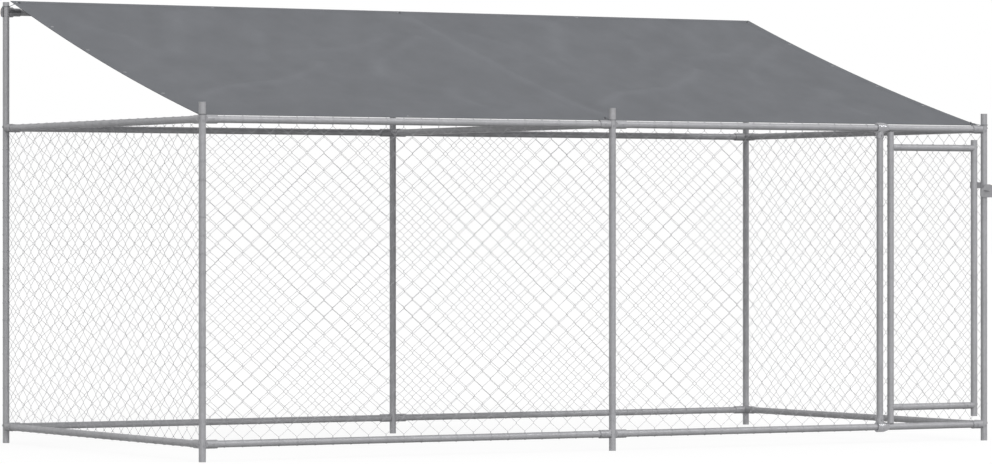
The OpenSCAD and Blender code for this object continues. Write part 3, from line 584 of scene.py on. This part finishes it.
    def tie_wire(self, u, z, tail):
        """Two turns of tie wire round an upright, with a twisted tail."""
        r = self.loop_radius
        steps = 2 * self.RING_STEPS
        points = []
        for i in range(steps + 1):
            angle = math.radians(self.RING_STEP * i)
            rise = self.TIE_RISE * (i / steps - 0.5)
            points.append(self.at(u + r * math.cos(angle), r * math.sin(angle), z + rise))
        points.append(self.at(u + r + self.TIE_BEND[0], self.TIE_BEND[1], z + self.TIE_BEND[2]))
        points.append(self.at(u + r + tail, self.TIE_END[0], z + self.TIE_END[1]))
        return points

    def post_heights(self, u):
        """Heights of the loops on the upright at one end of the net, clear of its fittings."""
        ends = self.sizes.tee_reach if self.door_post and u > 0 else self.RAIL_CLEAR
        even = self.columns[0][2] if u == 0 else not self.columns[-1][2]
        turns = range(0 if even else 1, self.runs + 1, 2)
        heights = [self.z0 + k * self.rise + self.loop_shift for k in turns]
        heights = [z for z in heights if self.low + ends < z < self.top - ends]
        if self.clamp and self.clamp[0] == u:
            low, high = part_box(self.clamp[1])
            heights = [z for z in heights if z < low.z - self.CLAMP_CLEAR or z > high.z + self.CLAMP_CLEAR]
        return heights

    def rail_places(self):
        """Places of the loops on the rails, clear of the cups and of the door post's tees."""
        first = self.sizes.plug_reach if self.door else self.sizes.cup_reach
        last = self.length - (self.sizes.plug_reach if self.door_post else first)
        places = [left if starts_left else left + half for left, half, starts_left in self.columns]
        return sorted({round(u, 5) for u in places if first < u < last})

    def woven(self, name):
        wires = bent_wires(name, [self.wire(*column) for column in self.columns], self.sizes.wire)
        loops = [self.rail_loop(u, self.low, -1) for u in self.rail_places()]
        loops += [self.rail_loop(u, self.top, 1) for u in self.rail_places()]
        ties = []
        if self.door_post:
            ties.append(self.tie_wire(self.length, self.sizes.post_tie_height, self.POST_TAIL))
        if self.door:
            ties.append(self.tie_wire(0.0, self.sizes.door_tie_height, self.DOOR_TAIL))
            ties.append(self.tie_wire(self.length, self.sizes.door_tie_height, self.DOOR_TAIL))
        edges = bent_wires(name + "_loops", loops + ties, self.sizes.wire)
        rings = [self.post_loop(u, z) for u in (0.0, self.length) for z in self.post_heights(u)]
        posts = bent_wires(name + "_rings", rings, self.sizes.wire, closed=True)
        return join(name, wires, edges, posts)


class KENNEL_OT_roof(bpy.types.Operator):
    """Stretches the roof sheet over its eyelets, with its hems, seam and wrinkles"""

    bl_idname = "kennel.roof"
    bl_label = "Stretch the roof sheet"

    def execute(self, context):
        sizes = context.scene.kennel_roof
        roof = Roof(sizes)
        sheet = roof.cloth("roof_cloth", sizes.columns, sizes.rows)
        hems = roof.hems("roof_hems", sheet)
        thicken(sheet, sizes.thickness)
        thicken(hems, Roof.HEM_LAYERS * sizes.thickness)
        roof.pierce(sheet, hems)
        material = self.material(context.scene.kennel_colours.cloth)
        for piece in (sheet, hems):
            wear(piece, material)
            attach(piece, "frame")
        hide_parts("roof_sheet")
        roof.slope_length()
        finish_nodes(("roof_eyelets",), zinc(
            "plated_eyelet", context.scene.kennel_colours.eyelet, spangle=700.0, metal=0.55,
            rough=(0.22, 0.36), grain=1500.0))
        return {"FINISHED"}

    def material(self, colour):
        """Coated tarpaulin: a plain weave under a thin coat, with faint cloudy marks and a highlight painted
        along its wrinkles.
        """
        f = Finish("coated_cloth")
        blots = f.noise(6.5, detail=4.0, rough=0.55, stretch=(1.0, 3.2, 1.0), turn=math.radians(-30))
        clouds = f.spread(blots, low=0.945, high=1.055)
        streaks = f.spread(f.noise(1.0, stretch=(0.11, 0.77, 1.0)), low=0.98, high=1.02)
        fibres = f.spread(f.noise(260.0, detail=2.0), low=0.97, high=1.03)
        # Painted highlight: the colour is up to 8% paler along the wrinkles and the seam's ridge, where
        # light catches the folds.
        crease = f.node("ShaderNodeAttribute", attribute_name="crease").outputs["Fac"]
        painted_highlight = f.spread(crease, low=1.0, high=1.08, dark=0.0, light=1.0)
        shade = f.math("MULTIPLY", f.math("MULTIPLY", clouds, streaks), f.math("MULTIPLY", fibres, painted_highlight))
        f.tint(colour, shade)
        f.roughness(f.spread(f.noise(7.0, detail=4.0), low=0.80, high=0.92))
        yarn = 0.0026
        f.bump(f.math("ADD", f.yarn(yarn, "X"), f.yarn(yarn, "Y")), strength=0.22, depth=0.0004)
        f.shader.inputs["Specular IOR Level"].default_value = 0.10
        return f.material


def thicken(piece, thickness):
    """Gives a flat piece its thickness, half to each side."""
    choose(piece)
    wall = piece.modifiers.new("thickness", "SOLIDIFY")
    wall.thickness = thickness
    wall.offset = 0.0
    bpy.ops.object.modifier_apply(modifier=wall.name)
    bpy.ops.object.shade_smooth_by_angle(angle=math.radians(40))


class Roof:
    """The roof sheet's place and shape."""

    HEM_LAYERS = 2.1  # thickness of a hem, in thicknesses of the cloth
    HEM_SLACK = 1.02  # keeps the middles of the hems' faces inside their width
    HOLE_RADIUS, CUTTER_DEPTH, CUTTER_SIDES = 0.0046, 0.012, 20  # eyelet holes in the cloth
    WRINKLE_ROOM = 0.2  # a wrinkle isn't worked out farther than this from its points
    SEAM_CALM = 0.10  # distance from the seam at which the wrinkles reach their whole height
    RIDGE_ASIDE, RIDGE_HALF = 0.018, 0.032  # distance from the seam and half width of the ridge beside it
    RIDGE_WAVES = ((0.006, 5.0, 0.6), (0.004, 13.0, 0.0))  # size, radians a metre and start of each wave
    RIDGE_FOLDS, RIDGE_PALE = 0.7, 1.2  # its height in folds, and the strength of the highlight painted along it
    EDGE_CALM, EDGE_FADE = 0.045, 0.12  # flat border, and the width over which the wrinkles fade into it

    def __init__(self, sizes):
        self.sizes = sizes
        low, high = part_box("roof_sheet")
        self.left, self.right = low.x, high.x
        self.front, self.back = low.y, high.y
        self.low, self.high = low.z + SHEET_SOLID / 2, high.z - SHEET_SOLID / 2
        self.wide = self.right - self.left
        self.deep = self.back - self.front

    def level(self, y):
        """Height of the middle of the cloth, without its wrinkles."""
        t = (y - self.front) / self.deep
        return self.low + (self.high - self.low) * t - 4 * self.sizes.sag * t * (1 - t)

    def up(self, y):
        """Direction square to the sheet."""
        step = 0.001
        slope = math.atan((self.level(y + step) - self.level(y - step)) / (2 * step))
        return Vector((0.0, -math.sin(slope), math.cos(slope)))

    def slope_length(self):
        steps = 200
        ys = [self.front + self.deep * i / steps for i in range(steps + 1)]
        return sum(math.hypot(b - a, self.level(b) - self.level(a)) for a, b in zip(ys, ys[1:]))

    def folds(self, x, y):
        """Height of the wrinkles and the strength of the highlight painted along them and along the seam's
        ridge, fading out before the hems.
        """
        seam = (self.left + self.right) / 2
        s = x - self.left if x < seam else x - seam
        v = y - (self.front + self.back) / 2
        from_seam = min(1.0, abs(x - seam) / self.SEAM_CALM)
        rise, crease = 0.0, 0.0
        for points, height, width in WRINKLES:
            along = [p[0] for p in points]
            if min(along) - self.WRINKLE_ROOM < s < max(along) + self.WRINKLE_ROOM:
                gap = min(distance(s, v, p, q) for p, q in zip(points, points[1:]))
                swell = from_seam * math.exp(-(gap / width) ** 2)
                rise += height * swell
                # Painted highlight: each wrinkle is made paler in proportion to its height.
                crease += height / self.sizes.fold * swell
        wave = sum(size * math.sin(turn * v + start) for size, turn, start in self.RIDGE_WAVES)
        ridge = math.exp(-((x - seam - self.RIDGE_ASIDE - wave) / self.RIDGE_HALF) ** 2)
        from_edge = min(x - self.left, self.right - x, y - self.front, self.back - y)
        fade = min(1.0, max(0.0, (from_edge - self.EDGE_CALM) / self.EDGE_FADE))
        fade = fade * fade * (3 - 2 * fade)
        rise += self.RIDGE_FOLDS * self.sizes.fold * ridge
        # Painted highlight: the ridge beside the seam is made paler, where light catches it.
        crease += self.RIDGE_PALE * ridge
        return fade * rise, fade * crease

    def spaced(self, start, end, count):
        """Even steps between two hems, with one step for each hem."""
        hem = self.sizes.hem
        inner = [start + hem + (end - start - 2 * hem) * i / (count - 2) for i in range(count - 1)]
        return [start] + inner + [end]

    def cloth(self, name, columns, rows):
        """A grid in the sheet's shape, with the highlight painted along its wrinkles as an attribute."""
        clear_selection()
        bpy.ops.mesh.primitive_grid_add(x_subdivisions=columns, y_subdivisions=rows, size=2.0)
        sheet = bpy.context.object
        xs, ys = self.spaced(self.left, self.right, columns), self.spaced(self.front, self.back, rows)
        painted_crease_highlights = []
        for vertex in sheet.data.vertices:
            i = round((vertex.co.x + 1) / 2 * columns)
            j = round((vertex.co.y + 1) / 2 * rows)
            x, y = xs[i], ys[j]
            rise, crease = self.folds(x, y)
            vertex.co = (x, y, self.level(y) + rise)
            painted_crease_highlights.append(crease)
        sheet.data.attributes.new("crease", "FLOAT", "POINT").data.foreach_set("value", painted_crease_highlights)
        return join(name, sheet)

    def hems(self, name, sheet):
        """A copy of the border cells, the turned hem."""
        choose(sheet)
        bpy.ops.object.duplicate()
        hems = bpy.context.object
        edge = self.sizes.hem * self.HEM_SLACK
        inside = (self.left + edge, self.right - edge, self.front + edge, self.back - edge)
        bpy.ops.object.mode_set(mode="EDIT")
        bpy.ops.mesh.select_mode(type="FACE")
        bpy.ops.mesh.select_all(action="DESELECT")
        bpy.ops.object.mode_set(mode="OBJECT")
        for face in hems.data.polygons:
            c = face.center
            face.select = inside[0] < c.x < inside[1] and inside[2] < c.y < inside[3]
        bpy.ops.object.mode_set(mode="EDIT")
        bpy.ops.mesh.delete(type="FACE")
        bpy.ops.object.mode_set(mode="OBJECT")
        return join(name, hems)

    def pierce(self, *pieces):
        """Cuts the eyelet holes through the cloth."""
        clear_selection()
        cutters = []
        for x, y in eyelet_places():
            slope = -math.asin(self.up(y).y)
            bpy.ops.mesh.primitive_cylinder_add(
                vertices=self.CUTTER_SIDES, radius=self.HOLE_RADIUS, depth=self.CUTTER_DEPTH,
                location=(x, y, self.level(y)), rotation=(slope, 0, 0))
            cutters.append(bpy.context.object)
        cutter = join("eyelet_cutter", *cutters)
        for piece in pieces:
            choose(piece)
            holes = piece.modifiers.new("holes", "BOOLEAN")
            holes.operation = "DIFFERENCE"
            holes.solver = "EXACT"
            holes.object = cutter
            bpy.ops.object.modifier_apply(modifier=holes.name)
        choose(cutter)
        bpy.ops.object.delete()


def distance(x, y, p, q):
    """Distance in plan from a point to a short line."""
    dx, dy = q[0] - p[0], q[1] - p[1]
    t = max(0.0, min(1.0, ((x - p[0]) * dx + (y - p[1]) * dy) / (dx * dx + dy * dy)))
    return math.hypot(x - p[0] - t * dx, y - p[1] - t * dy)


def eyelet_places():
    """Plan places of the eyelets, read from where their solids lie."""
    spots = []
    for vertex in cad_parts["roof_eyelets"].data.vertices:
        for spot in spots:
            x, y = spot[0]
            if abs(vertex.co.x - x) < EYELET_ROOM and abs(vertex.co.y - y) < EYELET_ROOM:
                spot.append((vertex.co.x, vertex.co.y))
                break
        else:
            spots.append([(vertex.co.x, vertex.co.y)])
    places = []
    for spot in spots:
        xs, ys = zip(*spot)
        places.append(((min(xs) + max(xs)) / 2, (min(ys) + max(ys)) / 2))
    return places


class KENNEL_OT_ties(bpy.types.Operator):
    """Ties the roof sheet to the posts with elastic cords that end in balls"""

    bl_idname = "kennel.ties"
    bl_label = "Tie the sheet to the posts"

    def execute(self, context):
        sizes = context.scene.kennel_roof
        roof = Roof(sizes)
        eyes = eyelet_places()
        front_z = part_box("cups_front")[1].z + sizes.loop_gap
        back_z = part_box("cups_high")[1].z + sizes.loop_gap
        loops, cords, beads = [], [], []
        for side, z in (("front", front_z), ("back", back_z)):
            for place in ("left", "middle", "right"):
                post = middle(f"post_{side}_{place}")
                x, y = min(eyes, key=lambda eye: math.hypot(eye[0] - post.x, eye[1] - post.y))
                eye = Vector((x, y, roof.level(y)))
                ring = Vector((post.x, post.y, z))
                loops += self.twisted_loop(ring, sizes)
                start = ring + (eye - ring).to_2d().normalized().to_3d() * self.loop_radius(sizes)
                lift = sizes.ball / 2 + sizes.eyelet_half
                if side == "front":
                    ball = eye + roof.up(y) * lift
                    knot = eye - roof.up(y) * (sizes.knot / 2 + sizes.eyelet_half)
                    cords += [(start, ball), (knot, ball)]
                    beads += [(ball, sizes.ball), (knot, sizes.knot)]
                else:
                    way = (eye - start).normalized()
                    ball = eye + way * (lift / abs(way.dot(roof.up(y))))
                    cords.append((start, ball))
                    beads.append((ball, sizes.ball))
        ties = bent_wires("tie_loops", loops, sizes.strand, closed=True, sides=2)
        straight = bent_wires("tie_cords", cords, sizes.cord, sides=3)
        balls = self.row_of_beads(beads)
        piece = join("roof_tie_cords", ties, straight, *balls)
        wear(piece, self.material(context.scene.kennel_colours.cord))
        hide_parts("roof_ties")
        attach(piece, "frame")
        return {"FINISHED"}

    def loop_radius(self, sizes):
        return TUBE_RADIUS + sizes.loop_gap

    def twisted_loop(self, ring, sizes):
        """Two strands that twist round each other and round a post."""
        steps, twists = 96, 12
        strands = []
        for half in (0.0, math.pi):
            points = []
            for i in range(steps):
                turn = 2 * math.pi * i / steps
                twist = twists * turn + half
                out = self.loop_radius(sizes) + sizes.strand / 2 * math.cos(twist)
                rise = sizes.strand / 2 * math.sin(twist)
                points.append(ring + Vector((out * math.cos(turn), out * math.sin(turn), rise)))
            strands.append(points)
        return strands

    def row_of_beads(self, beads):
        """One ball, copied to each place at its own size."""
        clear_selection()
        bpy.ops.mesh.primitive_uv_sphere_add(segments=24, ring_count=14, radius=0.5)
        bpy.ops.object.shade_smooth()
        first = bpy.context.object
        balls = []
        for place, size in beads:
            choose(first)
            bpy.ops.object.duplicate()
            ball = bpy.context.object
            ball.location = place
            ball.scale = (size, size, size)
            bpy.ops.object.transform_apply(location=True, rotation=True, scale=True)
            balls.append(ball)
        choose(first)
        bpy.ops.object.delete()
        return balls

    def material(self, colour):
        """Elastic cord: a fine braid round a stretchy core."""
        f = Finish("elastic_cord")
        f.tint(colour, f.spread(f.noise(500.0), low=0.80, high=1.25))
        f.roughness(f.spread(f.noise(300.0), low=0.60, high=0.80))
        braid = f.math("ADD", f.yarn(0.0011, "DIAGONAL"), f.yarn(0.0013, "Z"))
        f.bump(braid, strength=0.35, depth=0.0003)
        f.shader.inputs["Specular IOR Level"].default_value = 0.15
        return f.material


class KENNEL_OT_stage(bpy.types.Operator):
    """Lays a pale floor, sets soft light and puts the camera in its place"""

    bl_idname = "kennel.stage"
    bl_label = "Set the stage"

    def execute(self, context):
        stage = context.scene.kennel_stage
        self.floor()
        self.sky(context.scene, stage)
        for name, strength, toward, angle, shadow in LAMPS:
            self.lamp(name, getattr(stage, strength), Vector(toward), angle, shadow)
        clear_selection()
        bpy.ops.object.camera_add(
            location=stage.camera_place, rotation=(stage.camera_tilt, 0.0, stage.camera_turn))
        camera = context.object
        camera.data.sensor_width = 36.0
        camera.data.sensor_fit = "HORIZONTAL"
        camera.data.lens = stage.lens
        camera.data.clip_end = 500.0
        context.scene.camera = camera
        context.scene.view_settings.view_transform = "Standard"
        return {"FINISHED"}

    def seen(self, tree):
        """One for rays that show the backdrop: from the camera, in a reflection or through glass."""
        path = tree.nodes.new("ShaderNodeLightPath")
        total = path.outputs["Is Camera Ray"]
        for kind in ("Is Glossy Ray", "Is Transmission Ray"):
            most = tree.nodes.new("ShaderNodeMath")
            most.operation = "MAXIMUM"
            tree.links.new(total, most.inputs[0])
            tree.links.new(path.outputs[kind], most.inputs[1])
            total = most.outputs["Value"]
        return total

    def floor(self):
        """A grey floor that glows where it is seen, so that it looks white and keeps the shadow."""
        clear_selection()
        bpy.ops.mesh.primitive_plane_add(size=FLOOR_SIZE)
        floor = bpy.context.object
        floor.name = "floor"
        material = bpy.data.materials.new("pale_floor")
        material.use_nodes = True
        tree = material.node_tree
        shader = tree.nodes["Principled BSDF"]
        shader.inputs["Base Color"].default_value = (FLOOR_GREY, FLOOR_GREY, FLOOR_GREY, 1.0)
        shader.inputs["Roughness"].default_value = 1.0
        shader.inputs["Specular IOR Level"].default_value = 0.0
        shader.inputs["Emission Color"].default_value = (1.0, 1.0, 1.0, 1.0)
        lift = tree.nodes.new("ShaderNodeMath")
        lift.operation = "MULTIPLY"
        lift.inputs[1].default_value = FLOOR_GLOW
        tree.links.new(self.seen(tree), lift.inputs[0])
        tree.links.new(lift.outputs["Value"], shader.inputs["Emission Strength"])
        wear(floor, material)

    def sky(self, scene, stage):
        """Soft light from all round, with a white backdrop where the sky itself is seen."""
        world = bpy.data.worlds.new("soft_sky")
        world.use_nodes = True
        scene.world = world
        tree = world.node_tree
        light = tree.nodes["Background"]
        place = tree.nodes.new("ShaderNodeTexCoord")
        parts = tree.nodes.new("ShaderNodeSeparateXYZ")
        tree.links.new(place.outputs["Generated"], parts.inputs["Vector"])
        level = tree.nodes.new("ShaderNodeMapRange")
        level.inputs["From Min"].default_value = 0.0
        level.inputs["From Max"].default_value = 0.9
        level.inputs["To Min"].default_value = stage.sky_low
        level.inputs["To Max"].default_value = stage.sky_high
        tree.links.new(parts.outputs["Z"], level.inputs["Value"])
        tree.links.new(level.outputs["Result"], light.inputs["Strength"])
        light.inputs["Color"].default_value = (1.0, 1.0, 1.0, 1.0)
        white = tree.nodes.new("ShaderNodeBackground")
        white.inputs["Color"].default_value = (1.0, 1.0, 1.0, 1.0)
        white.inputs["Strength"].default_value = 1.0
        mix = tree.nodes.new("ShaderNodeMixShader")
        tree.links.new(self.seen(tree), mix.inputs["Fac"])
        tree.links.new(light.outputs["Background"], mix.inputs[1])
        tree.links.new(white.outputs["Background"], mix.inputs[2])
        tree.links.new(mix.outputs["Shader"], tree.nodes["World Output"].inputs["Surface"])

    def lamp(self, name, strength, toward, angle, shadow):
        clear_selection()
        bpy.ops.object.light_add(type="SUN", location=LAMP_DISTANCE * toward)
        sun = bpy.context.object
        sun.name = name
        sun.data.energy = strength
        sun.data.angle = math.radians(angle)
        sun.data.use_shadow = shadow
        sun.rotation_euler = toward.to_track_quat("Z", "Y").to_euler()


class KENNEL_PT_sidebar(bpy.types.Panel):
    """Lists the steps that dress the kennel run"""

    bl_idname = "KENNEL_PT_sidebar"
    bl_label = "Kennel run"
    bl_space_type = "VIEW_3D"
    bl_region_type = "UI"
    bl_category = "Kennel run"

    def draw(self, context):
        for step in STEPS:
            self.layout.operator(step.bl_idname)


STEPS = (
    KENNEL_OT_stage, KENNEL_OT_tubes, KENNEL_OT_fittings, KENNEL_OT_nets, KENNEL_OT_roof, KENNEL_OT_ties)
SETTINGS = {
    "kennel_nets": KennelNetSizes,
    "kennel_roof": KennelRoofSizes,
    "kennel_colours": KennelColours,
    "kennel_stage": KennelStage,
}
CLASSES = (*SETTINGS.values(), *STEPS, KENNEL_PT_sidebar)


def register():
    for made in CLASSES:
        bpy.utils.register_class(made)
    for name, made in SETTINGS.items():
        setattr(bpy.types.Scene, name, PointerProperty(type=made))


def unregister():
    for name in SETTINGS:
        delattr(bpy.types.Scene, name)
    for made in reversed(CLASSES):
        bpy.utils.unregister_class(made)


def main():
    register()
    bpy.ops.kennel.stage()
    bpy.ops.kennel.tubes()
    bpy.ops.kennel.fittings()
    bpy.ops.kennel.nets()
    bpy.ops.kennel.roof()
    bpy.ops.kennel.ties()


if __name__ == "__main__":
    main()
